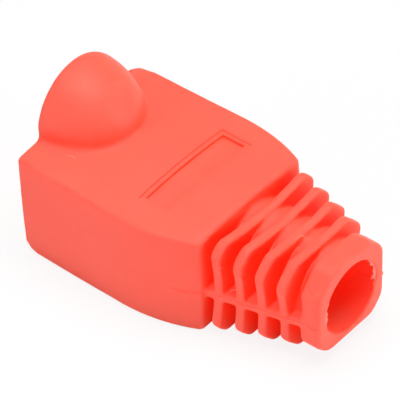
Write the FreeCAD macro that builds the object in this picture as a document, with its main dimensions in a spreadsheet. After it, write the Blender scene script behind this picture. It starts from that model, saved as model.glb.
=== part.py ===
import FreeCAD, Part
import math
import os

import Sketcher

# Strain relief boot for an 8-position modular plug, moulded in one piece of soft PVC.
# Frame: +X runs along the cable, from the open mouth to the end ring; +Z is up, and the
# latch dome is on top; the part is symmetrical about Y = 0. The origin lies on the
# underside, at the middle of the length. Millimetres.

SIZES = {
    # housing that slides over the plug
    "housing_length": 17.17,
    "mouth_width": 14.55,
    "shoulder_width": 15.2,
    "rear_width": 12.15,
    "straight_side": 10.8,
    "parting_height": 3.85,
    "upper_draft": 2.5,
    "lower_draft": 0.2,
    "mouth_top": 9.3,
    "rear_top": 9.0,
    "mouth_crown_radius": 60.0,
    "rear_crown_radius": 45.0,
    "rear_corner_radius": 0.55,
    "edge_radius": 0.35,
    "base_edge_chamfer": 0.25,
    "mouth_edge_chamfer": 0.12,
    "mouth_rake": 0.75,
    # dome over the latch
    "dome_length": 5.8,
    "dome_top": 13.62,
    "dome_centre_height": 8.95,
    "dome_tip_radius": 4.3,
    "dome_wall": 1.0,
    "dome_blend_radius": 0.45,
    # finger recess in the top face
    "recess_start": 10.35,
    "recess_length": 2.85,
    "recess_width": 9.8,
    "recess_depth": 0.32,
    "recess_step_depth": 0.1,
    "recess_ledge": 0.38,
    # plug socket and throat
    "socket_depth": 11.5,
    "socket_width": 11.9,
    "socket_height": 6.8,
    "socket_corner_radius": 0.4,
    "throat_radius": 3.35,
    "throat_wall": 0.8,
    # cable neck
    "axis_height": 4.4,
    "bore_radius": 3.0,
    "core_rear_wall": 0.55,
    "core_ring_wall": 0.3,
    "core_rise": 0.1,
    "first_gap": 0.6,
    "fin_pitch": 1.74,
    "fin_thickness": 0.8,
    "fin_edge_chamfer": 0.1,
    "fin_corner_radius": 1.0,
    # fins: sizes of the first and of the last, the ones between are in proportion
    "first_upper_width": 11.6,
    "last_upper_width": 9.5,
    "first_lower_width": 11.8,
    "last_lower_width": 8.5,
    "first_waist": 10.9,
    "last_waist": 8.5,
    "first_chamfer": 0.95,
    "last_chamfer": 1.6,
    "first_base_chamfer": 1.05,
    "last_base_chamfer": 1.5,
    "first_fin_top": 8.75,
    "last_fin_top": 8.45,
    "fin_crest": 0.15,
    "fin_arch": 0.2,
    # web along the parting plane
    "web_above": 0.3,
    "web_below": 0.5,
    "web_rear_width": 11.5,
    "web_ring_width": 7.75,
    # end ring
    "ring_length": 1.7,
    "ring_width": 7.95,
    "ring_top": 8.4,
    "ring_base": 0.75,
    "ring_top_chamfer": 1.75,
    "ring_base_chamfer": 1.3,
    "ring_corner_radius": 1.5,
    "ring_edge_radius": 0.35,
    # stock cut away in front of the mouth, and how far joined forms reach into each other
    "trim": 1.0,
    "overlap": 0.4,
}
FIN_COUNT = 4

doc = FreeCAD.newDocument("StrainReliefBoot")
sheet = doc.addObject("Spreadsheet::Sheet", "Sizes")
for row, (alias, value) in enumerate(SIZES.items(), start=1):
    sheet.set("A%d" % row, alias)
    sheet.set("B%d" % row, str(value))
    sheet.setAlias("B%d" % row, alias)
doc.recompute()

body = doc.addObject("PartDesign::Body", "boot")
body.Label = "boot"


def size(text):
    """An expression in which each size's name reads its cell of the sheet."""
    for alias in sorted(SIZES, key=len, reverse=True):
        text = text.replace("<" + alias + ">", "Sizes." + alias)
    return text


def number(text):
    """The value of an expression, in mm."""
    return float(body.evalExpression(size(text)))


# Stations along X, and sizes of the cable tube, as expressions
OVERALL = "(<housing_length> + <first_gap> + %d * <fin_pitch> + <ring_length>)" % FIN_COUNT
MOUTH = "(-%s / 2)" % OVERALL
REAR = "(%s + <housing_length>)" % MOUTH
RING = "(%s + <first_gap> + %d * <fin_pitch>)" % (REAR, FIN_COUNT)
END = "(%s / 2)" % OVERALL
SOCKET_END = "(%s + <socket_depth>)" % MOUTH
THROAT_END = "(%s - <throat_wall>)" % REAR
CORE_RADIUS = "(<bore_radius> + <core_rear_wall>)"
CORE_TOP = "(<axis_height> + <core_rise> + %s)" % CORE_RADIUS
CORE_BASE = "(<axis_height> - <core_rise> - %s)" % CORE_RADIUS


def origin_plane(role):
    for feature in body.Origin.OriginFeatures:
        if feature.Role == role:
            return feature
    raise ValueError(role)


def sketch_on(name, role, offset="0"):
    """A sketch on one of the body's planes, moved along that plane's normal."""
    sketch = body.newObject("Sketcher::SketchObject", name)
    sketch.AttachmentSupport = [(origin_plane(role), "")]
    sketch.MapMode = "FlatFace"
    sketch.setExpression("AttachmentOffset.Base.z", size(offset))
    doc.recompute()
    return sketch


def pin(sketch, curve, end, place):
    """Fix one point of a curve at an (x, y) pair of expressions."""
    for kind, text in zip(("DistanceX", "DistanceY"), place):
        index = sketch.addConstraint(Sketcher.Constraint(kind, -1, 1, curve, end, number(text)))
        sketch.setExpression("Constraints[%d]" % index, size(text))


def outline(sketch, corners):
    """A closed outline. Each corner is (x, y), or (x, y, via_x, via_y) where the edge
    that leaves it is an arc through the via point."""
    count = len(corners)
    spots = [FreeCAD.Vector(number(c[0]), number(c[1]), 0) for c in corners]
    for index, corner in enumerate(corners):
        start = spots[index]
        finish = spots[(index + 1) % count]
        if len(corner) == 2:
            sketch.addGeometry(Part.LineSegment(start, finish), False)
        else:
            via = FreeCAD.Vector(number(corner[2]), number(corner[3]), 0)
            sketch.addGeometry(arc(start, via, finish), False)
    curves = [start_end(sketch.Geometry[index], spots[index]) for index in range(count)]
    for index in range(count):
        following = (index + 1) % count
        sketch.addConstraint(
            Sketcher.Constraint("Coincident", index, curves[index][1], following, curves[following][0])
        )
    for index, corner in enumerate(corners):
        pin(sketch, index, curves[index][0], corner[:2])
        if len(corner) == 4:
            via = FreeCAD.Vector(number(corner[2]), number(corner[3]), 0)
            point = sketch.addGeometry(Part.Point(via), True)
            pin(sketch, point, 1, corner[2:])
            sketch.addConstraint(Sketcher.Constraint("PointOnObject", point, 1, index))
    doc.recompute()


def arc(start, via, finish):
    """An arc through three points, drawn counterclockwise whichever way they run."""
    clockwise = (via - start).cross(finish - via).z < 0
    if clockwise:
        return Part.Arc(finish, via, start)
    return Part.Arc(start, via, finish)


def start_end(curve, start):
    """Which of the curve's two ends, 1 or 2, is its first along the outline."""
    forward = (curve.StartPoint - start).Length < (curve.EndPoint - start).Length
    return (1, 2) if forward else (2, 1)


def mirrored(half):
    """The outline of a shape that is symmetrical about its vertical axis, from the
    corners of its right half, bottom to top; a via point on the axis joins the sides."""
    left = []
    for index in range(len(half) - 1, -1, -1):
        x, y = half[index][:2]
        corner = ["-(%s)" % x, y]
        before = half[index - 1]
        if index > 0 and len(before) == 4:
            corner += ["-(%s)" % before[2], before[3]]
        left.append(tuple(corner))
    return half + left


def added(feature, name, sketch, **settings):
    """A solid feature made from a sketch, with numbers or expressions as settings."""
    item = body.newObject("PartDesign::" + feature, name)
    item.Profile = sketch
    for key, value in settings.items():
        if isinstance(value, str) and key not in ("SideType", "Type"):
            item.setExpression(key, size(value))
        else:
            setattr(item, key, value)
    doc.recompute()
    return item


def eased(feature, name, reach, wanted):
    """A fillet or chamfer on the edges of the body's tip that the function wanted picks."""
    base = body.Tip
    picked = ["Edge%d" % (i + 1) for i, edge in enumerate(base.Shape.Edges) if wanted(edge)]
    if not picked:
        raise ValueError("no edge for " + name)
    item = body.newObject("PartDesign::" + feature, name)
    item.Base = (base, picked)
    item.setExpression("Radius" if feature == "Fillet" else "Size", size(reach))
    doc.recompute()


def between(edge, axis, low, high):
    """Whether the whole edge lies between two stations of an axis."""
    box = edge.BoundBox
    lowest, highest = {"x": (box.XMin, box.XMax), "y": (box.YMin, box.YMax), "z": (box.ZMin, box.ZMax)}[axis]
    return lowest > low - 1e-4 and highest < high + 1e-4


def sagitta(radius, reach):
    """How far an arc has dropped at a distance from its top, as an expression."""
    return "(%s - sqrt(%s ^ 2 - (%s) ^ 2))" % (radius, radius, reach)


def crown_height(station, reach):
    """Height of the crowned top face at a distance behind the mouth and beside Y = 0."""
    share = "((%s + 2 * <trim>) / (<housing_length> + 3 * <trim>))" % station
    front = "(<mouth_top> - %s)" % sagitta("<mouth_crown_radius>", reach)
    rear = "(<rear_top> - %s)" % sagitta("<rear_crown_radius>", reach)
    return "(%s + (%s - %s) * %s)" % (front, rear, front, share)


def housing():
    """Drafted block, parted between its halves, with a crowned top and soft edges."""
    front = MOUTH + " - <trim>"
    bend = MOUTH + " + <straight_side>"
    reach = "(<housing_length> - <straight_side>)"
    step = "((<shoulder_width> - <rear_width>) / 2)"
    # the side bends in along an arc that starts tangent to the straight stretch
    arc_radius = "((%s ^ 2 + %s ^ 2) / (2 * %s))" % (reach, step, step)
    via_x = "%s + %s / 2" % (bend, reach)
    via_y = "<shoulder_width> / 2 - %s" % sagitta(arc_radius, reach + " / 2")
    plan = sketch_on("HousingPlan", "XY_Plane", "<parting_height>")
    outline(plan, [
        (front, "-<mouth_width> / 2"),
        (bend, "-<shoulder_width> / 2", via_x, "-(%s)" % via_y),
        (REAR, "-<rear_width> / 2"),
        (REAR, "<rear_width> / 2", via_x, via_y),
        (bend, "<shoulder_width> / 2"),
        (front, "<mouth_width> / 2"),
    ])
    added("Pad", "HousingBlock", plan, SideType="Two sides",
          Length="<mouth_top> + <trim> - <parting_height>", Length2="<parting_height>",
          TaperAngle="-<upper_draft>", TaperAngle2="-<lower_draft>")
    above = "<mouth_top> + 2 * <trim>"
    reach_y = "(<shoulder_width> / 2 + <trim>)"
    sections = []
    for name, station, top, radius in (
        ("MouthCrown", MOUTH + " - 2 * <trim>", "<mouth_top>", "<mouth_crown_radius>"),
        ("RearCrown", REAR + " + <trim>", "<rear_top>", "<rear_crown_radius>"),
    ):
        section = sketch_on(name, "YZ_Plane", station)
        edge = "%s - %s" % (top, sagitta(radius, reach_y))
        outline(section, stock_above(reach_y, above, edge, top))
        sections.append(section)
    lofted("Subtractive", "Crown", sections)
    rear = number(REAR)
    eased("Fillet", "RearCorners", "<rear_corner_radius>", lambda edge: (
        between(edge, "x", rear - 0.5, rear) and edge.BoundBox.ZLength > 2 and abs(edge.CenterOfMass.y) > 3))
    front_end = number(MOUTH)
    eased("Fillet", "TopEdges", "<edge_radius>", lambda edge: (
        edge.BoundBox.XMax > front_end and edge.BoundBox.ZLength < 1.5
        and edge.CenterOfMass.z > number("<parting_height>") + 2))
    eased("Chamfer", "BaseEdges", "<base_edge_chamfer>", lambda edge: (
        edge.BoundBox.XMax > front_end and abs(edge.BoundBox.ZMax) < 1e-4))


def stock_above(reach, above, edge, middle):
    """The outline of stock to take off above a crowned floor."""
    return [(reach, above), ("-" + reach, above), ("-" + reach, edge, "0", middle), (reach, edge)]


def lofted(kind, name, sections):
    """A form added or taken away between two sections, along straight lines."""
    item = body.newObject("PartDesign::" + kind + "Loft", name)
    item.Profile = sections[0]
    item.Sections = [sections[1]]
    item.Ruled = True
    doc.recompute()


def bubble(feature, name, inset):
    """The dome's form, or a parallel one inside it, turned about a line along X. Its
    profile is two arcs that meet in tangency: one round the tip, one along the side."""
    length = "(<dome_length> - %s)" % inset
    height = "(<dome_top> - <dome_centre_height> - %s)" % inset
    tip = "(<dome_tip_radius> - %s)" % inset
    tip_x = "(%s - %s)" % (length, tip)
    side = "((%s ^ 2 + %s ^ 2 - %s ^ 2) / (2 * (%s - %s)))" % (tip_x, height, tip, height, tip)
    # direction, as a unit vector, from the arcs' centres to the point where they meet
    along = "(%s / (%s - %s))" % (tip_x, side, tip)
    across = "((%s - %s) / (%s - %s))" % (side, height, side, tip)
    side_half = "(%s / sqrt(2 + 2 * %s))" % (side, across)
    tip_half = "(%s / sqrt(2 + 2 * %s))" % (tip, along)
    profile = sketch_on(name + "Profile", "XZ_Plane")
    profile.setExpression("AttachmentOffset.Base.y", size("<dome_centre_height>"))
    outline(profile, [
        (MOUTH + " - <trim>", "0"),
        (MOUTH + " + " + length, "0",
         "%s + %s + %s * (1 + %s)" % (MOUTH, tip_x, tip_half, along), "%s * %s" % (tip_half, across)),
        ("%s + %s + %s * %s" % (MOUTH, tip_x, tip, along), "%s * %s" % (tip, across),
         "%s + %s * %s" % (MOUTH, side_half, along),
         "%s - %s + %s * (1 + %s)" % (height, side, side_half, across)),
        (MOUTH, height),
        (MOUTH + " - <trim>", height),
    ])
    added(feature, name, profile, ReferenceAxis=(profile, ["H_Axis"]), Angle=360.0)


def mouth():
    """Bubble over the plug's latch, and the open end, cut at a slight rake, with a soft rim."""
    bubble("Revolution", "Dome", "0")
    face = sketch_on("MouthCut", "XZ_Plane")
    outline(face, [
        (MOUTH + " - <dome_length> - <trim>", "-<trim>"),
        (MOUTH + " + <mouth_rake> * (1 + <trim> / <dome_top>)", "-<trim>"),
        (MOUTH + " - <mouth_rake> * <trim> / <dome_top>", "<dome_top> + <trim>"),
        (MOUTH + " - <dome_length> - <trim>", "<dome_top> + <trim>"),
    ])
    added("Pocket", "Mouth", face, SideType="Symmetric", Length="<shoulder_width> + 2 * <trim>")
    height = number("<dome_top> - <dome_centre_height>")
    low = number(crown_height("<dome_length>", "(<dome_top> - <dome_centre_height>)")) - 0.1
    eased("Fillet", "DomeBlend", "<dome_blend_radius>", lambda edge: (
        between(edge, "z", low, number("<mouth_top>") + 0.05) and between(edge, "y", -height, height)
        and edge.BoundBox.XMin < number(MOUTH + " + <dome_length>") and edge.BoundBox.XLength > 0.3))
    front = number(MOUTH)
    rake = number("<mouth_rake>")
    top = number("<dome_top>")
    eased("Chamfer", "MouthRim", "<mouth_edge_chamfer>", lambda edge: all(
        abs(point.x - front - rake * (1 - point.z / top)) < 1e-4 for point in edge.discretize(5)))


def blend(name, share):
    """A size of one fin, between those of the first and of the last."""
    return "(<first_%s> + (<last_%s> - <first_%s>) * %s)" % (name, name, name, share)


def fin_outline(share):
    """The outline of a fin: waisted sides, dished top and base, cut corners."""
    upper = blend("upper_width", share) + " / 2"
    lower = blend("lower_width", share) + " / 2"
    waist = blend("waist", share) + " / 2"
    cut = blend("chamfer", share)
    base_cut = blend("base_chamfer", share)
    top = blend("fin_top", share)
    corners = mirrored([
        ("%s - %s" % (lower, base_cut), "0"),
        (lower, base_cut, waist, "<parting_height>"),
        (upper, "%s - %s" % (top, cut)),
        ("%s - %s" % (upper, cut), top, "0", CORE_TOP + " + <fin_crest>"),
    ])
    corners[-1] += ("0", "<fin_arch>")
    return corners


def fin(index):
    """One fin on the cable tube, with round corners and eased edges."""
    share = "%d / %d" % (index, FIN_COUNT - 1)
    station = "%s + <first_gap> + %d * <fin_pitch>" % (REAR, index)
    name = "Fin%d" % (index + 1)
    section = sketch_on(name + "Section", "YZ_Plane", station)
    outline(section, fin_outline(share))
    added("Pad", name, section, Length="<fin_thickness>")
    low = number(station)
    high = low + number("<fin_thickness>")

    radius = number(CORE_RADIUS)
    top = number(CORE_TOP)
    base = number(CORE_BASE)

    def outside(edge):
        centre = edge.CenterOfMass
        clear = abs(centre.y) > radius + 0.1 or centre.z > top or centre.z < base
        return between(edge, "x", low, high) and clear

    limit = "min(<fin_corner_radius>; 1.1 * %s)" % blend("chamfer", share)
    eased("Fillet", name + "Corners", limit, lambda edge: (
        outside(edge) and edge.BoundBox.XLength > 0.5 * (high - low)
        and edge.BoundBox.DiagonalLength < 1.01 * (high - low)))
    eased("Chamfer", name + "Edges", "<fin_edge_chamfer>", lambda edge: (
        outside(edge) and edge.BoundBox.XLength < 1e-4))


def neck():
    """Tapered cable tube with its fins, a web along the parting plane and an end ring."""
    tube = []
    for name, station, wall in (
        ("CoreRear", REAR + " - <overlap>", "<core_rear_wall>"),
        ("CoreRing", RING + " + <ring_length> / 2", "<core_ring_wall>"),
    ):
        section = sketch_on(name, "YZ_Plane", station)
        radius = "(<bore_radius> + %s)" % wall
        corners = mirrored([
            (radius, "<axis_height> - <core_rise>"),
            (radius, "<axis_height> + <core_rise>", "0", "<axis_height> + <core_rise> + " + radius),
        ])
        corners[-1] += ("0", "<axis_height> - <core_rise> - " + radius)
        outline(section, corners)
        tube.append(section)
    lofted("Additive", "Core", tube)
    for index in range(FIN_COUNT):
        fin(index)
    ring = sketch_on("RingSection", "YZ_Plane", RING)
    outline(ring, mirrored([
        ("<ring_width> / 2 - <ring_base_chamfer>", "<ring_base>"),
        ("<ring_width> / 2", "<ring_base> + <ring_base_chamfer>"),
        ("<ring_width> / 2", "<ring_top> - <ring_top_chamfer>"),
        ("<ring_width> / 2 - <ring_top_chamfer>", "<ring_top>"),
    ]))
    added("Pad", "Ring", ring, Length="<ring_length>")
    low = number(RING)
    high = number(END)
    eased("Fillet", "RingCorners", "<ring_corner_radius>", lambda edge: (
        between(edge, "x", low, high) and edge.BoundBox.XLength > 0.9 * (high - low)
        and edge.BoundBox.DiagonalLength < 1.01 * (high - low)))
    eased("Fillet", "RingEdge", "<ring_edge_radius>", lambda edge: between(edge, "x", high, high))
    web = sketch_on("WebPlan", "XY_Plane", "<parting_height>")
    outline(web, [
        (REAR + " - <overlap>", "-<web_rear_width> / 2"),
        (RING + " + <overlap>", "-<web_ring_width> / 2"),
        (RING + " + <overlap>", "<web_ring_width> / 2"),
        (REAR + " - <overlap>", "<web_rear_width> / 2"),
    ])
    added("Pad", "Web", web, SideType="Two sides", Length="<web_above>", Length2="<web_below>")


def circle(sketch, radius):
    """A circle about the cable's axis."""
    centre = FreeCAD.Vector(0, number("<axis_height>"), 0)
    sketch.addGeometry(Part.Circle(centre, FreeCAD.Vector(0, 0, 1), number(radius)), False)
    index = sketch.addConstraint(Sketcher.Constraint("Radius", 0, number(radius)))
    sketch.setExpression("Constraints[%d]" % index, size(radius))
    pin(sketch, 0, 3, ("0", "<axis_height>"))
    doc.recompute()


def hollows():
    """Plug socket, conical throat, cable bore, latch space and finger recess."""
    inset = "<socket_corner_radius> * (1 - sqrt(2) / 2)"
    side = "<socket_width> / 2"
    low = "<axis_height> - <socket_height> / 2"
    high = "<axis_height> + <socket_height> / 2"
    inner = "%s - <socket_corner_radius>" % side
    socket = sketch_on("SocketSection", "YZ_Plane", MOUTH + " - <trim>")
    outline(socket, mirrored([
        (inner, low, "%s - %s" % (side, inset), "%s + %s" % (low, inset)),
        (side, "%s + <socket_corner_radius>" % low),
        (side, "%s - <socket_corner_radius>" % high, "%s - %s" % (side, inset), "%s - %s" % (high, inset)),
        (inner, high),
    ]))
    added("Pocket", "Socket", socket, Reversed=True, Length="<socket_depth> + <trim>")
    throat = []
    for name, station, radius in (
        ("ThroatStart", SOCKET_END, "<throat_radius>"),
        ("ThroatEnd", THROAT_END, "<bore_radius>"),
    ):
        section = sketch_on(name, "YZ_Plane", station)
        circle(section, radius)
        throat.append(section)
    lofted("Subtractive", "Throat", throat)
    bore = sketch_on("BoreSection", "YZ_Plane", THROAT_END)
    circle(bore, "<bore_radius>")
    added("Pocket", "Bore", bore, Reversed=True, Length="%s - %s + <trim>" % (END, THROAT_END))
    bubble("Groove", "LatchSpace", "<dome_wall>")
    # the recess follows the top face: a shallow step all round, then a deeper floor
    for name, ledge, depth in (
        ("RecessStep", "0", "<recess_step_depth>"),
        ("Recess", "<recess_ledge>", "<recess_depth>"),
    ):
        reach = "(<recess_width> / 2 - %s)" % ledge
        above = "<mouth_top> + <trim>"
        sections = []
        for end, station in (
            ("Front", "(<recess_start> + %s)" % ledge),
            ("Rear", "(<recess_start> + <recess_length> - %s)" % ledge),
        ):
            section = sketch_on(name + end, "YZ_Plane", "%s + %s" % (MOUTH, station))
            floor = "%s - %s" % (crown_height(station, reach), depth)
            middle = "%s - %s" % (crown_height(station, "0"), depth)
            outline(section, stock_above(reach, above, floor, middle))
            sections.append(section)
        lofted("Subtractive", name, sections)


def check(item):
    """Stop if a feature failed or the solid isn't one valid piece."""
    for thing in item.Document.Objects:
        if "Invalid" in thing.State or "Error" in thing.State:
            raise RuntimeError("%s failed: %s" % (thing.Name, thing.State))
    shape = item.Shape
    if shape.isNull() or not shape.isValid() or len(shape.Solids) != 1:
        raise RuntimeError("the boot isn't one valid solid")


STEPS = [housing, mouth, neck, hollows]
for step in STEPS:
    step()
    print(step.__name__, round(body.Shape.Volume, 3), len(body.Shape.Solids), body.Shape.isValid())
check(body)
box = body.Shape.BoundBox
print("size", round(box.XLength, 3), round(box.YLength, 3), round(box.ZLength, 3))
print("low corner", round(box.XMin, 3), round(box.YMin, 3), round(box.ZMin, 3))

os.makedirs("parts", exist_ok=True)
body.Shape.exportStep(os.path.join("parts", body.Label + ".step"))
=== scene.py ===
import math

import bpy
import numpy as np
from mathutils import Matrix, Vector


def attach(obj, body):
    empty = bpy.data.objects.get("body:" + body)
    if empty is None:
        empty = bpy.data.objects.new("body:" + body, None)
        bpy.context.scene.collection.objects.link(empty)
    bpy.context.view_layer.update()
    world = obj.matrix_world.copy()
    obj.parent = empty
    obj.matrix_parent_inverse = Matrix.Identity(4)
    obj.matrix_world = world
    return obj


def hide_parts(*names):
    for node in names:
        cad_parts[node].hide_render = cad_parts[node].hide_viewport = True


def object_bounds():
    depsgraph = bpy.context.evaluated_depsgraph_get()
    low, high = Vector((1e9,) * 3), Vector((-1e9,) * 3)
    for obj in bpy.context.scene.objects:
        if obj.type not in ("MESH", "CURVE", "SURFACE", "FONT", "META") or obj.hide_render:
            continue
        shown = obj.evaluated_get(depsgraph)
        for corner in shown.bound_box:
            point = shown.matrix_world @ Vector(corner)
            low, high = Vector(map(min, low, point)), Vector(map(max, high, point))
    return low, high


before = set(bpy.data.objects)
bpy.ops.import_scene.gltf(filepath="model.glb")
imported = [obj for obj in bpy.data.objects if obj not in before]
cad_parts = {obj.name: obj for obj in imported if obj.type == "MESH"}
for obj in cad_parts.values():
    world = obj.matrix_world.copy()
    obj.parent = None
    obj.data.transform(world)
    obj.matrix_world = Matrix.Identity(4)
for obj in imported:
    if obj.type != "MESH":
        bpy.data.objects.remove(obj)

bl_info = {
    "name": "Strain relief boot",
    "version": (1, 0, 0),
    "blender": (4, 5, 0),
    "location": "View3D > Sidebar > Boot",
    "description": "Moulded PVC boot for a modular plug, with its stage",
    "category": "Add Mesh",
}

MM = 0.001
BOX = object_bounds()

# The places below are in millimetres. Stations run along X, from the open mouth to the end of the ring.
HOUSING_LENGTH = 17.17
RING_LENGTH = 1.7
MOUTH = BOX[0][0] / MM
REAR = MOUTH + HOUSING_LENGTH
END = BOX[1][0] / MM
RING = END - RING_LENGTH

# fins: the gap before the first, how thick they are and how far apart
FIRST_GAP = 0.6
FIN_THICKNESS = 0.8
FIN_PITCH = 1.74

# the moulded tube inside the fins: its radius at the housing, and how much it has lost at the ring
TUBE_RADIUS = 3.55
TUBE_TAPER = 0.25

# finger recess in the top: its ends, half its width, and how far in and how deep its two steps lie
RECESS_START = MOUTH + 10.35
RECESS_END = RECESS_START + 2.85
RECESS_SIDE = 4.9
RECESS_STEPS = ((0.0, 0.1), (0.38, 0.22))

# the top face lies above this level everywhere, and the dome is turned about this one
TOP_LEVEL = 8.0
DOME_AXIS = 8.95

# edges of the skin that turn by more than this are drawn sharp
SHARP_ANGLE = math.radians(38)

# small cuts on the first fins' upper corners and a rough patch on the ring:
# where, how wide, how deep, how coarse, and the seed
TOOL_MARKS = (
    ((REAR + 1.0, -5.3, 6.9), 0.7, 0.055, 0.5, 11),
    ((REAR + 2.8, -4.9, 6.6), 0.6, 0.05, 0.45, 12),
    ((RING + 0.9, -3.7, 6.6), 1.0, 0.035, 0.4, 13),
)

# torn lips in the bore: from which angle, to which angle, their share of the lips' reach, and the seed
LIPS = {"bore_lip_left": (152, 200, 1.2, 4), "bore_lip_right": (-20, 44, 2.3, 7)}

# stray curls: the corners of their path, from where the third fin ends, and their radius
CURLS = {
    "curl_fin_3": ([(0.0, -1.25, 8.2), (0.1, -1.1, 8.75), (0.2, -0.6, 8.7), (0.25, -0.2, 8.35)], 0.07),
    "curl_web": ([(-3.2, -4.9, 4.2), (-3.0, -4.8, 4.55), (-2.85, -4.4, 4.3), (-2.75, -4.3, 4.15)], 0.06),
}

# scuffs: the corners of their path, and the direction in which it is laid on the skin
SCUFF_RADIUS = 0.025
SCUFFS = {
    "scuff_top": ([(-10.05, -4.75, 0), (-9.7, -4.3, 0), (-9.25, -4.65, 0)], (0, 0, -1)),
    "scuff_side": ([(-7.6, 0, 4.5), (-6.6, 0, 5.9), (-5.1, 0, 5.6)], (0, 1, 0)),
}

# lamps, which all face the origin: where, how wide, their power and their colour
LAMPS = {
    "overhead": ((0, 10, 260), 200, 0.70, (1, 1, 1)),
    "end_light": ((250, 80, 60), 160, 0.36, (1, 1, 1)),
    "side_light": ((-60, -260, 60), 200, 0.27, (0.88, 0.92, 1)),
}


class BootSkin(bpy.types.PropertyGroup):
    """Shape of the moulded skin."""

    spacing: bpy.props.FloatProperty(
        name="Spacing", description="Distance between the skin's points",
        default=0.085 * MM, min=0.05 * MM, unit="LENGTH")
    triangles: bpy.props.IntProperty(
        name="Triangles", description="Most triangles in the finished skin", default=190000, min=1000)
    softness: bpy.props.IntProperty(
        name="Softness", description="Passes that round the edges over", default=5, min=0)
    mouth_softness: bpy.props.IntProperty(
        name="Mouth softness", description="Extra passes at the worn corners of the mouth",
        default=110, min=0)
    parting_height: bpy.props.FloatProperty(
        name="Parting height", description="Height of the plane where the mould's halves met",
        default=3.85 * MM, unit="LENGTH")
    flash_height: bpy.props.FloatProperty(
        name="Flash height", description="How proud the parting line stands",
        default=0.16 * MM, min=0, unit="LENGTH")
    axis_height: bpy.props.FloatProperty(
        name="Axis height", description="Height of the cable's axis", default=4.4 * MM, unit="LENGTH")
    core_shift: bpy.props.FloatProperty(
        name="Core shift", description="How far the moulded tube's upper half lies off to one side",
        default=0.42 * MM, unit="LENGTH")
    waviness: bpy.props.FloatProperty(
        name="Waviness", description="Height of the shallow sink and swell of moulded faces",
        default=0.012 * MM, min=0, unit="LENGTH")


class BootFlash(bpy.types.PropertyGroup):
    """Thin waste left where the mould's parts met."""

    reach: bpy.props.FloatProperty(
        name="Lip reach", description="How far the ragged lips reach into the bore",
        default=0.34 * MM, min=0, unit="LENGTH")
    thickness: bpy.props.FloatProperty(
        name="Lip thickness", description="Thickness of the lips",
        default=0.09 * MM, min=0.01 * MM, unit="LENGTH")
    bead: bpy.props.FloatProperty(
        name="Bead", description="Radius of the fine beads round the tube", default=0.06 * MM,
        min=0.01 * MM, unit="LENGTH")
    bore_radius: bpy.props.FloatProperty(
        name="Bore radius", description="Radius of the cable bore", default=3.0 * MM, unit="LENGTH")


class BootFinish(bpy.types.PropertyGroup):
    """Colours and gloss of the soft PVC, with its painted glow and the painted shade of its hollows."""

    colour: bpy.props.FloatVectorProperty(
        name="PVC colour", description="Body colour of the moulding",
        default=(0.98, 0.132, 0.086), size=3, min=0, max=1, subtype="COLOR")
    bloom: bpy.props.FloatVectorProperty(
        name="Bloom colour", description="Colour where the surface has gone slightly paler",
        default=(0.985, 0.146, 0.1), size=3, min=0, max=1, subtype="COLOR")
    # Painted glow: a red emission, though the PVC gives off no light, that makes its red look deeper
    # everywhere.
    painted_glow: bpy.props.FloatProperty(
        name="Glow", description="Strength of the red light that the body gives off by itself",
        default=0.13, min=0, max=1, subtype="FACTOR")
    flash: bpy.props.FloatVectorProperty(
        name="Flash colour", description="Colour of thin torn edges, which are paler",
        default=(1.0, 0.34, 0.26), size=3, min=0, max=1, subtype="COLOR")
    # Painted shade: hollows are given this deeper red in the base colour, in place of light bouncing between
    # red faces.
    deep: bpy.props.FloatVectorProperty(
        name="Deep colour", description="Colour in hollows, where light bounces between red faces",
        default=(1.0, 0.07, 0.028), size=3, min=0, max=1, subtype="COLOR")
    roughness: bpy.props.FloatProperty(
        name="Roughness", description="How matt the moulded surface is",
        default=0.45, min=0, max=1, subtype="FACTOR")


class BootStage(bpy.types.PropertyGroup):
    """Camera and light."""

    azimuth: bpy.props.FloatProperty(
        name="Camera azimuth", description="Turn of the camera about the vertical, from the -Y side",
        default=math.radians(40.5), subtype="ANGLE")
    elevation: bpy.props.FloatProperty(
        name="Camera elevation", description="Height of the camera above the horizon",
        default=math.radians(41.8), subtype="ANGLE")
    roll: bpy.props.FloatProperty(
        name="Camera roll", description="Turn of the camera about its own line of sight",
        default=math.radians(-1.8), subtype="ANGLE")
    distance: bpy.props.FloatProperty(
        name="Camera distance", description="From the camera to its aim",
        default=262.2 * MM, unit="LENGTH")
    lens: bpy.props.FloatProperty(
        name="Lens", description="Focal length, in millimetres", default=315.0, min=1)
    aim: bpy.props.FloatVectorProperty(
        name="Aim", description="The point that the camera looks at", size=3, subtype="XYZ", unit="LENGTH",
        default=(-1.05 * MM, -0.06 * MM, 6.21 * MM))
    sky: bpy.props.FloatProperty(
        name="Sky", description="Strength of the light from all round", default=0.15, min=0)
    floor_shadow: bpy.props.FloatProperty(
        name="Floor shadow", description="How much of the floor's shading the camera sees",
        default=0.15, min=0, max=1, subtype="FACTOR")


def step(low, high, value):
    """A smooth rise from 0 to 1 between two values."""
    share = np.clip((value - low) / (high - low), 0, 1)
    return share * share * (3 - 2 * share)


def window(low, high, edge, value):
    """1 between two values, falling smoothly to 0 within a distance outside them."""
    return step(low - edge, low, value) * (1 - step(high, high + edge, value))


def ripple(points, length, seed):
    """Smooth random swell, about -1 to 1, with features of the given length."""
    chance = np.random.default_rng(seed)
    total = np.zeros(len(points))
    for _ in range(10):
        heading = chance.normal(size=3)
        heading /= np.linalg.norm(heading) * length * chance.uniform(0.7, 1.6)
        total += np.sin(points @ heading * 2 * math.pi + chance.uniform(0, 2 * math.pi))
    return total / 4


def coordinates(mesh, kind="co"):
    values = np.empty(len(mesh.vertices) * 3)
    mesh.vertices.foreach_get(kind, values)
    return values.reshape(-1, 3)


def placed(mesh, points):
    mesh.vertices.foreach_set("co", points.ravel())
    mesh.update()


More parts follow.
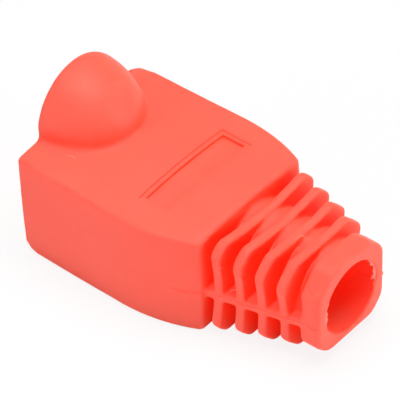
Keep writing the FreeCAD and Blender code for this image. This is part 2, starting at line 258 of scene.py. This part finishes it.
def modified(context, mesh, kind, **settings):
    """A mesh as one modifier leaves it."""
    thing = bpy.data.objects.new("blank", mesh)
    context.scene.collection.objects.link(thing)
    modifier = thing.modifiers.new(kind, kind)
    for key, value in settings.items():
        setattr(modifier, key, value)
    context.view_layer.update()
    result = bpy.data.meshes.new_from_object(thing.evaluated_get(context.evaluated_depsgraph_get()))
    bpy.data.objects.remove(thing)
    return result


def softened(points, edges, weight, passes):
    """Points drawn to the middle of their neighbours, each by its weight."""
    first, second = edges.T
    count = len(points)
    neighbours = np.bincount(edges.ravel(), minlength=count)
    for _ in range(passes):
        middle = np.empty_like(points)
        for axis in range(3):
            line = points[:, axis]
            middle[:, axis] = (np.bincount(first, line[second], count)
                               + np.bincount(second, line[first], count)) / neighbours
        points = points + weight[:, None] * (middle - points)
    return points


def cut_recess(points, skin):
    """The finger recess, cut afresh into the crowned top: a shallow ledge, then the floor."""
    points = points.copy()
    x, y, z = points.T
    walls = np.stack([RECESS_START - x, x - RECESS_END, y - RECESS_SIDE, -y - RECESS_SIDE])
    beyond = walls.max(0)
    top = (z > TOP_LEVEL) & (beyond < 0.9)
    even = top & (beyond > 0.25)
    terms = np.stack([np.ones_like(x), x, x * x, y * y, x * y * y, y ** 4], 1)
    crown = np.linalg.lstsq(terms[even], z[even], rcond=None)[0]
    outward = np.array([(-1, 0), (1, 0), (0, 1), (0, -1)])[walls.argmax(0)]
    depth = np.zeros(len(points))
    half_wall = 0.008
    for ledge, drop in RECESS_STEPS:
        past = beyond + ledge
        depth += np.where(past < 0, drop, 0)
        beside = top & (np.abs(past) < skin.spacing / MM)
        target = np.where(past < 0, -half_wall, half_wall)
        points[beside, :2] += ((target - past)[:, None] * outward)[beside]
    cut = top & (beyond < 0.3)
    points[cut, 2] = (terms @ crown - depth)[cut]
    return points


def shifted_core(points, skin):
    """The tube's upper half, between the housing and the ring, moulded off to one side."""
    x, y, z = points.T
    across = np.hypot(y, z - skin.axis_height / MM)
    between_ends = window(REAR - 0.2, RING + 0.2, 0.9, x)
    upper_half = step(4.0, 6.3, z)
    inside_fins = 1 - step(3.75, 4.5, across)
    moved = points.copy()
    moved[:, 1] += skin.core_shift / MM * (between_ends * upper_half * inside_fins)
    return moved


def dome_rim(points, normals):
    """The open rim of the dome spreads a little."""
    x, y, z = points.T
    spread = 0.1
    outward = step(0.0, 0.3, normals[:, 1] * y + normals[:, 2] * (z - DOME_AXIS))
    raised = step(9.2, 10.5, z)
    near_mouth = 1 - step(MOUTH + 0.5, MOUTH + 5.0, x)
    near_side = 1 - step(1.0, 3.5, y)
    return spread * outward * raised * near_mouth * near_side


def parting_line(points, normals, skin):
    """Flash where the mould's halves met, on the flanks from the housing's rear part to the ring."""
    x, y, z = points.T
    half_width = 0.085
    outside = step(2.9, 3.2, np.hypot(y, z - skin.axis_height / MM))
    flank = step(0.45, 0.8, np.abs(normals[:, 1])) * outside * window(1.9, END - 0.4, 0.8, x)
    along = points * (1, 0, 0)
    wander = 0.03 * ripple(along, 3.0, 5)
    line = np.exp(-((z - skin.parting_height / MM - wander) / half_width) ** 2)
    return skin.flash_height / MM * flank * line * (0.75 + 0.35 * ripple(along, 1.3, 8))


def tool_marks(points):
    """Small rough patches, as a trimming knife leaves them."""
    total = np.zeros(len(points))
    for place, width, depth, coarseness, seed in TOOL_MARKS:
        near = np.exp(-((points - place) ** 2).sum(1) / width ** 2)
        total += depth * near * ripple(points, coarseness, seed)
    return total


def relief(points, normals, skin):
    """How far each point stands out of the even surface, in millimetres."""
    swell = skin.waviness / MM * ripple(points, 5.0, 3)
    return swell + dome_rim(points, normals) + parting_line(points, normals, skin) + tool_marks(points)


def worn_corners(points):
    """1 at the worn corners of the mouth, which are the far top one and both at the base."""
    x, y, z = points.T
    top_corner = step(6.0, 6.8, y) * step(TOP_LEVEL, TOP_LEVEL + 0.8, z)
    base_corners = step(6.4, 7.0, np.abs(y)) * (1 - step(0.4, 1.0, z))
    return (1 - step(MOUTH + 0.9, MOUTH + 2.0, x)) * np.maximum(top_corner, base_corners)


def recess_area(points):
    """1 over the finger recess and just round it."""
    x, y, z = points.T
    side = RECESS_SIDE + 0.1
    along = window(RECESS_START - 0.15, RECESS_END + 0.1, 0.3, x)
    return along * window(-side, side, 0.3, y) * step(TOP_LEVEL, TOP_LEVEL + 0.4, z)


def moulded_skin(context, node, skin):
    """The boot as soft PVC leaves the mould: its edges eased, its faces not quite flat."""
    blank = node.data.copy()
    blank.transform(Matrix.Scale(1 / MM, 4) @ node.matrix_world)
    blank.materials.clear()
    mesh = modified(context, blank, "REMESH", mode="VOXEL", voxel_size=skin.spacing / MM)
    points = coordinates(mesh)
    edges = np.empty(len(mesh.edges) * 2, dtype=np.int64)
    mesh.edges.foreach_get("vertices", edges)
    edges = edges.reshape(-1, 2)
    # the recess is left alone, because it is cut afresh below; both masks are for the shape before softening
    weight = 0.5
    even, worn = weight * (1 - 0.97 * recess_area(points)), weight * worn_corners(points)
    points = softened(points, edges, even, skin.softness)
    points = softened(points, edges, worn, skin.mouth_softness)
    points = shifted_core(cut_recess(points, skin), skin)
    placed(mesh, points)
    normals = coordinates(mesh, "normal")
    placed(mesh, points + normals * relief(points, normals, skin)[:, None])
    mesh.calc_loop_triangles()
    share = min(1.0, skin.triangles / len(mesh.loop_triangles))
    mesh = modified(context, mesh, "DECIMATE", ratio=share)
    mesh.transform(Matrix.Scale(MM, 4))
    mesh.shade_smooth()
    mesh.set_sharp_from_angle(angle=SHARP_ANGLE)
    return mesh


def pvc(name, finish, colour, bloom, hollows=True):
    """Soft moulded PVC: light sinks in and comes out red, with a painted red glow added on top; the surface
    is matt and a little uneven.
    """
    material = bpy.data.materials.new(name)
    material.use_nodes = True
    nodes, links = material.node_tree.nodes, material.node_tree.links
    shader = nodes["Principled BSDF"]
    place = nodes.new("ShaderNodeTexCoord")

    def cloud(scale, detail):
        """Noise with so many features to the millimetre."""
        texture = nodes.new("ShaderNodeTexNoise")
        texture.inputs["Scale"].default_value = scale / MM
        texture.inputs["Detail"].default_value = detail
        links.new(place.outputs["Object"], texture.inputs["Vector"])
        return texture.outputs["Fac"]

    tint = nodes.new("ShaderNodeMix")
    tint.data_type = "RGBA"
    tint.inputs["A"].default_value = (*colour, 1)
    tint.inputs["B"].default_value = (*bloom, 1)
    links.new(cloud(scale=0.22, detail=3), tint.inputs["Factor"])
    body_colour = tint.outputs["Result"]
    # Painted shade: hollows turn the deeper red in the base colour.
    if hollows:
        body_colour = painted_hollow_shade(nodes, links, body_colour, finish.deep)
    links.new(body_colour, shader.inputs["Base Color"])

    spread = 0.08
    gloss = nodes.new("ShaderNodeMapRange")
    gloss.inputs["To Min"].default_value = finish.roughness - spread
    gloss.inputs["To Max"].default_value = finish.roughness + spread
    links.new(cloud(scale=0.8, detail=4), gloss.inputs["Value"])
    links.new(gloss.outputs["Result"], shader.inputs["Roughness"])

    grain = nodes.new("ShaderNodeBump")
    grain.inputs["Strength"].default_value = 0.35
    grain.inputs["Distance"].default_value = 0.012 * MM
    links.new(cloud(scale=4.5, detail=5), grain.inputs["Height"])
    links.new(grain.outputs["Normal"], shader.inputs["Normal"])

    shader.inputs["Subsurface Weight"].default_value = 1.0
    shader.inputs["Subsurface Radius"].default_value = (1.0, 0.03, 0.02)
    shader.inputs["Subsurface Scale"].default_value = 3.0 * MM
    shader.inputs["Specular IOR Level"].default_value = 0.2
    # Painted glow: a red emission, though the PVC gives off no light.
    shader.inputs["Emission Color"].default_value = (1, 0.02, 0, 1)
    shader.inputs["Emission Strength"].default_value = finish.painted_glow
    return material


def painted_hollow_shade(nodes, links, colour, deep):
    """Painted shade: the base colour turns a deeper red in hollows, found by ambient occlusion, in place of
    light that bounces between red faces; faces that look up keep more of their colour.
    """
    hollow = nodes.new("ShaderNodeAmbientOcclusion")
    hollow.samples = 12
    hollow.only_local = True
    hollow.inputs["Distance"].default_value = 5.0 * MM
    openness = nodes.new("ShaderNodeMapRange")
    openness.inputs["From Min"].default_value = 0.45
    openness.inputs["From Max"].default_value = 0.9
    facing = nodes.new("ShaderNodeNewGeometry")
    heading = nodes.new("ShaderNodeSeparateXYZ")
    upward = nodes.new("ShaderNodeMapRange")
    upward.inputs["From Min"].default_value = 0.6
    upward.inputs["To Max"].default_value = 0.85
    lit = nodes.new("ShaderNodeMath")
    lit.operation = "MAXIMUM"
    mix = nodes.new("ShaderNodeMix")
    mix.data_type = "RGBA"
    mix.inputs["A"].default_value = (*deep, 1)
    links.new(hollow.outputs["AO"], openness.inputs["Value"])
    links.new(facing.outputs["Normal"], heading.inputs["Vector"])
    links.new(heading.outputs["Z"], upward.inputs["Value"])
    links.new(openness.outputs["Result"], lit.inputs[0])
    links.new(upward.outputs["Result"], lit.inputs[1])
    links.new(lit.outputs["Value"], mix.inputs["Factor"])
    links.new(colour, mix.inputs["B"])
    return mix.outputs["Result"]


def fitted(context, name, mesh, material):
    """A piece of the boot in the scene, riding on its body."""
    piece = bpy.data.objects.new(name, mesh)
    context.scene.collection.objects.link(piece)
    mesh.materials.clear()
    mesh.materials.append(material)
    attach(piece, "root")
    return piece


class BOOT_OT_skin(bpy.types.Operator):
    """The moulded boot"""

    bl_idname = "boot.skin"
    bl_label = "Moulded boot"

    def execute(self, context):
        scene = context.scene
        mesh = moulded_skin(context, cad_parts["boot"], scene.boot_skin)
        if not mesh.polygons:
            raise RuntimeError("the skin is empty")
        finish = scene.boot_finish
        piece = fitted(context, "boot_skin", mesh, pvc("boot_pvc", finish, finish.colour, finish.bloom))
        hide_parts("boot")
        return {"FINISHED"}


def swept(name, rings):
    """A closed mesh through rings of points, capped at both ends."""
    count = len(rings[0])
    faces = [tuple(range(count))[::-1], tuple(range((len(rings) - 1) * count, len(rings) * count))]
    for row in range(len(rings) - 1):
        for column in range(count):
            a, b = row * count + column, row * count + (column + 1) % count
            faces.append((a, b, b + count, a + count))
    mesh = bpy.data.meshes.new(name)
    mesh.from_pydata([tuple(point * MM) for ring in rings for point in ring], [], faces)
    mesh.shade_smooth()
    mesh.update()
    return mesh


def ragged_lip(name, flash, axis_height, low, high, reach, seed):
    """A torn film inside the rim of the bore, between two angles in degrees."""
    chance = np.random.default_rng(seed)
    radius, thickness = flash.bore_radius / MM, flash.thickness / MM
    setback, root = 0.08, 0.2
    angles = np.linspace(math.radians(low), math.radians(high), 72)
    taper = np.sin(np.linspace(0, math.pi, len(angles))) ** 0.6
    slow = 0.5 + 0.3 * np.sin(angles * 9 + seed) + 0.2 * np.sin(angles * 23 + 2 * seed)
    torn = np.repeat(chance.uniform(0.45, 1.0, len(angles) // 3), 3)
    depth = reach * taper * np.clip(slow, 0.15, 1) * torn
    rings = []
    for angle, inward in zip(angles, depth):
        across = np.array((0, math.cos(angle), math.sin(angle)))
        centre = np.array((END - setback, 0, axis_height / MM))
        out = centre + across * (radius + root)
        tip = centre + across * (radius - inward) + (0.25 * inward * math.sin(5 * angle), 0, 0)
        back = np.array((-thickness, 0, 0))
        rings.append([out, tip, tip + back * 0.35, out + back * 2])
    return swept(name, rings)


def bead(name, path, radius):
    """A fine rib of flash along a path, thin at both ends."""
    path = np.array(path)
    turns = np.linspace(0, 2 * math.pi, 8, endpoint=False)
    rings = []
    for index, middle in enumerate(path):
        ahead = path[min(index + 1, len(path) - 1)] - path[max(index - 1, 0)]
        ahead /= np.linalg.norm(ahead)
        side = np.cross(ahead, (0, 0, 1))
        side /= np.linalg.norm(side)
        over = np.cross(side, ahead)
        swell = radius * math.sin(math.pi * (index + 0.4) / (len(path) - 0.2)) ** 0.5
        rings.append([middle + swell * (side * math.cos(turn) + over * math.sin(turn)) for turn in turns])
    return swept(name, rings)


def rounded_path(corners, count):
    """Points along a smooth curve that runs from the first corner to the last."""
    corners = np.array(corners, dtype=float)
    order = len(corners) - 1
    share = np.linspace(0, 1, count)[:, None]
    return sum(math.comb(order, index) * share ** index * (1 - share) ** (order - index) * corner
               for index, corner in enumerate(corners))


def laid_on(skin_piece, path, heading):
    """A path, in millimetres, moved along a direction until it meets the skin."""
    found = []
    for point in path:
        start = (Vector(point) - Vector(heading) * 30) * MM
        hit, place, _, _ = skin_piece.ray_cast(start, Vector(heading))
        if not hit:
            raise RuntimeError("the path misses the skin")
        found.append(np.array(place) / MM)
    return found


def tube_arc(index, skin):
    """The path of a bead in the corner where the tube meets the housing, or the end of a fin."""
    count = 40
    station = REAR + 0.02 if index == 0 else fin_station(index - 1)
    radius = TUBE_RADIUS - TUBE_TAPER * (station - REAR) / (RING - REAR) + 0.02
    turns = np.radians(np.linspace(172, 118 - 4 * index, count))
    path = np.stack((np.full(count, station + 0.06), radius * np.cos(turns),
                     skin.axis_height / MM + 0.1 + radius * np.sin(turns)), 1)
    return shifted_core(path, skin)


def fin_station(index):
    """Where a fin ends, towards the ring."""
    return REAR + FIRST_GAP + FIN_THICKNESS + FIN_PITCH * index


class BOOT_OT_flash(bpy.types.Operator):
    """Ragged lips in the bore, beads round the tube, scuffs, and stray curls of flash"""

    bl_idname = "boot.flash"
    bl_label = "Flash"

    def execute(self, context):
        scene = context.scene
        flash, skin, finish = scene.boot_flash, scene.boot_skin, scene.boot_finish
        material = pvc("boot_flash", finish, finish.flash, finish.bloom, hollows=False)
        for name, (low, high, share, seed) in LIPS.items():
            reach = share * flash.reach / MM
            mesh = ragged_lip(name, flash, skin.axis_height, low, high, reach, seed)
            fitted(context, name, mesh, material)
        for index in range(5):
            mesh = bead("bead", tube_arc(index, skin), flash.bead / MM)
            fitted(context, "tube_bead_%d" % (index + 1), mesh, material)
        for name, (corners, radius) in CURLS.items():
            path = rounded_path([(fin_station(2) + x, y, z) for x, y, z in corners], 24)
            fitted(context, name, bead(name, path, radius), material)
        for name, (corners, heading) in SCUFFS.items():
            path = laid_on(bpy.data.objects["boot_skin"], rounded_path(corners, 24), heading)
            fitted(context, name, bead(name, path, SCUFF_RADIUS), material)
        return {"FINISHED"}


class BOOT_OT_stage(bpy.types.Operator):
    """Floor, backdrop, soft lights and the camera"""

    bl_idname = "boot.stage"
    bl_label = "Stage"

    def execute(self, context):
        look = context.scene.boot_stage
        camera_on(context, look)
        white_world(context, look)
        pale_floor(context, look)
        for name, (spot, size, power, colour) in LAMPS.items():
            lamp = bpy.data.lights.new(name, "AREA")
            lamp.energy = power
            lamp.color = colour
            lamp.size = size * MM
            thing = bpy.data.objects.new(name, lamp)
            thing.location = Vector(spot) * MM
            thing.rotation_euler = Vector(spot).to_track_quat("Z", "Y").to_euler()
            context.scene.collection.objects.link(thing)
        context.scene.view_settings.view_transform = "Standard"
        return {"FINISHED"}


def camera_on(context, look):
    """The camera, turned, raised and rolled about its aim."""
    turn, rise = look.azimuth, look.elevation
    back = Vector((math.sin(turn) * math.cos(rise), -math.cos(turn) * math.cos(rise), math.sin(rise)))
    right = Vector((math.cos(turn), math.sin(turn), 0.0))
    data = bpy.data.cameras.new("camera")
    data.lens = look.lens
    data.sensor_width = 36.0
    data.clip_start = 1 * MM
    data.clip_end = 10.0
    camera = bpy.data.objects.new("camera", data)
    place = Matrix((right, back.cross(right), back)).transposed() @ Matrix.Rotation(look.roll, 3, "Z")
    camera.matrix_world = Matrix.Translation(Vector(look.aim) + back * look.distance) @ place.to_4x4()
    context.scene.collection.objects.link(camera)
    context.scene.camera = camera


def white_world(context, look):
    """An even soft light from all round, which the camera sees as plain white."""
    world = bpy.data.worlds.new("studio")
    context.scene.world = world
    world.use_nodes = True
    nodes, links = world.node_tree.nodes, world.node_tree.links
    background = nodes["Background"]
    background.inputs["Color"].default_value = (1, 1, 1, 1)
    path = nodes.new("ShaderNodeLightPath")
    strength = nodes.new("ShaderNodeMapRange")
    strength.inputs["To Min"].default_value = look.sky
    strength.inputs["To Max"].default_value = 1.0
    links.new(path.outputs["Is Camera Ray"], strength.inputs["Value"])
    links.new(strength.outputs["Result"], background.inputs["Strength"])


def pale_floor(context, look):
    """A white floor, on which the camera still sees a trace of the boot's shadow."""
    reach = 400 * MM
    mesh = bpy.data.meshes.new("floor")
    mesh.from_pydata([(-reach, -reach, 0), (reach, -reach, 0), (reach, reach, 0), (-reach, reach, 0)],
                     [], [(0, 1, 2, 3)])
    floor = bpy.data.objects.new("floor", mesh)
    context.scene.collection.objects.link(floor)
    material = bpy.data.materials.new("floor_white")
    material.use_nodes = True
    nodes, links = material.node_tree.nodes, material.node_tree.links
    output = nodes["Material Output"]
    matt = nodes.new("ShaderNodeBsdfDiffuse")
    matt.inputs["Color"].default_value = (0.85, 0.85, 0.85, 1)
    white = nodes.new("ShaderNodeEmission")
    path = nodes.new("ShaderNodeLightPath")
    seen = nodes.new("ShaderNodeMath")
    seen.operation = "MULTIPLY"
    seen.inputs[1].default_value = 1 - look.floor_shadow
    mix = nodes.new("ShaderNodeMixShader")
    links.new(path.outputs["Is Camera Ray"], seen.inputs[0])
    links.new(seen.outputs["Value"], mix.inputs["Fac"])
    links.new(matt.outputs["BSDF"], mix.inputs[1])
    links.new(white.outputs["Emission"], mix.inputs[2])
    links.new(mix.outputs["Shader"], output.inputs["Surface"])
    mesh.materials.append(material)


class BOOT_PT_panel(bpy.types.Panel):
    """Buttons for the steps that build the boot, its flash and its stage"""

    bl_idname = "BOOT_PT_panel"
    bl_label = "Strain relief boot"
    bl_space_type = "VIEW_3D"
    bl_region_type = "UI"
    bl_category = "Boot"

    def draw(self, context):
        layout = self.layout
        for operator in (BOOT_OT_skin, BOOT_OT_flash, BOOT_OT_stage):
            layout.operator(operator.bl_idname)


GROUPS = {"boot_skin": BootSkin, "boot_flash": BootFlash, "boot_finish": BootFinish, "boot_stage": BootStage}
CLASSES = (*GROUPS.values(), BOOT_OT_skin, BOOT_OT_flash, BOOT_OT_stage, BOOT_PT_panel)


def register():
    for item in CLASSES:
        bpy.utils.register_class(item)
    for name, group in GROUPS.items():
        setattr(bpy.types.Scene, name, bpy.props.PointerProperty(type=group))


def unregister():
    for name in GROUPS:
        delattr(bpy.types.Scene, name)
    for item in reversed(CLASSES):
        bpy.utils.unregister_class(item)


def main():
    register()
    bpy.ops.boot.skin()
    bpy.ops.boot.flash()
    bpy.ops.boot.stage()


if __name__ == "__main__":
    main()
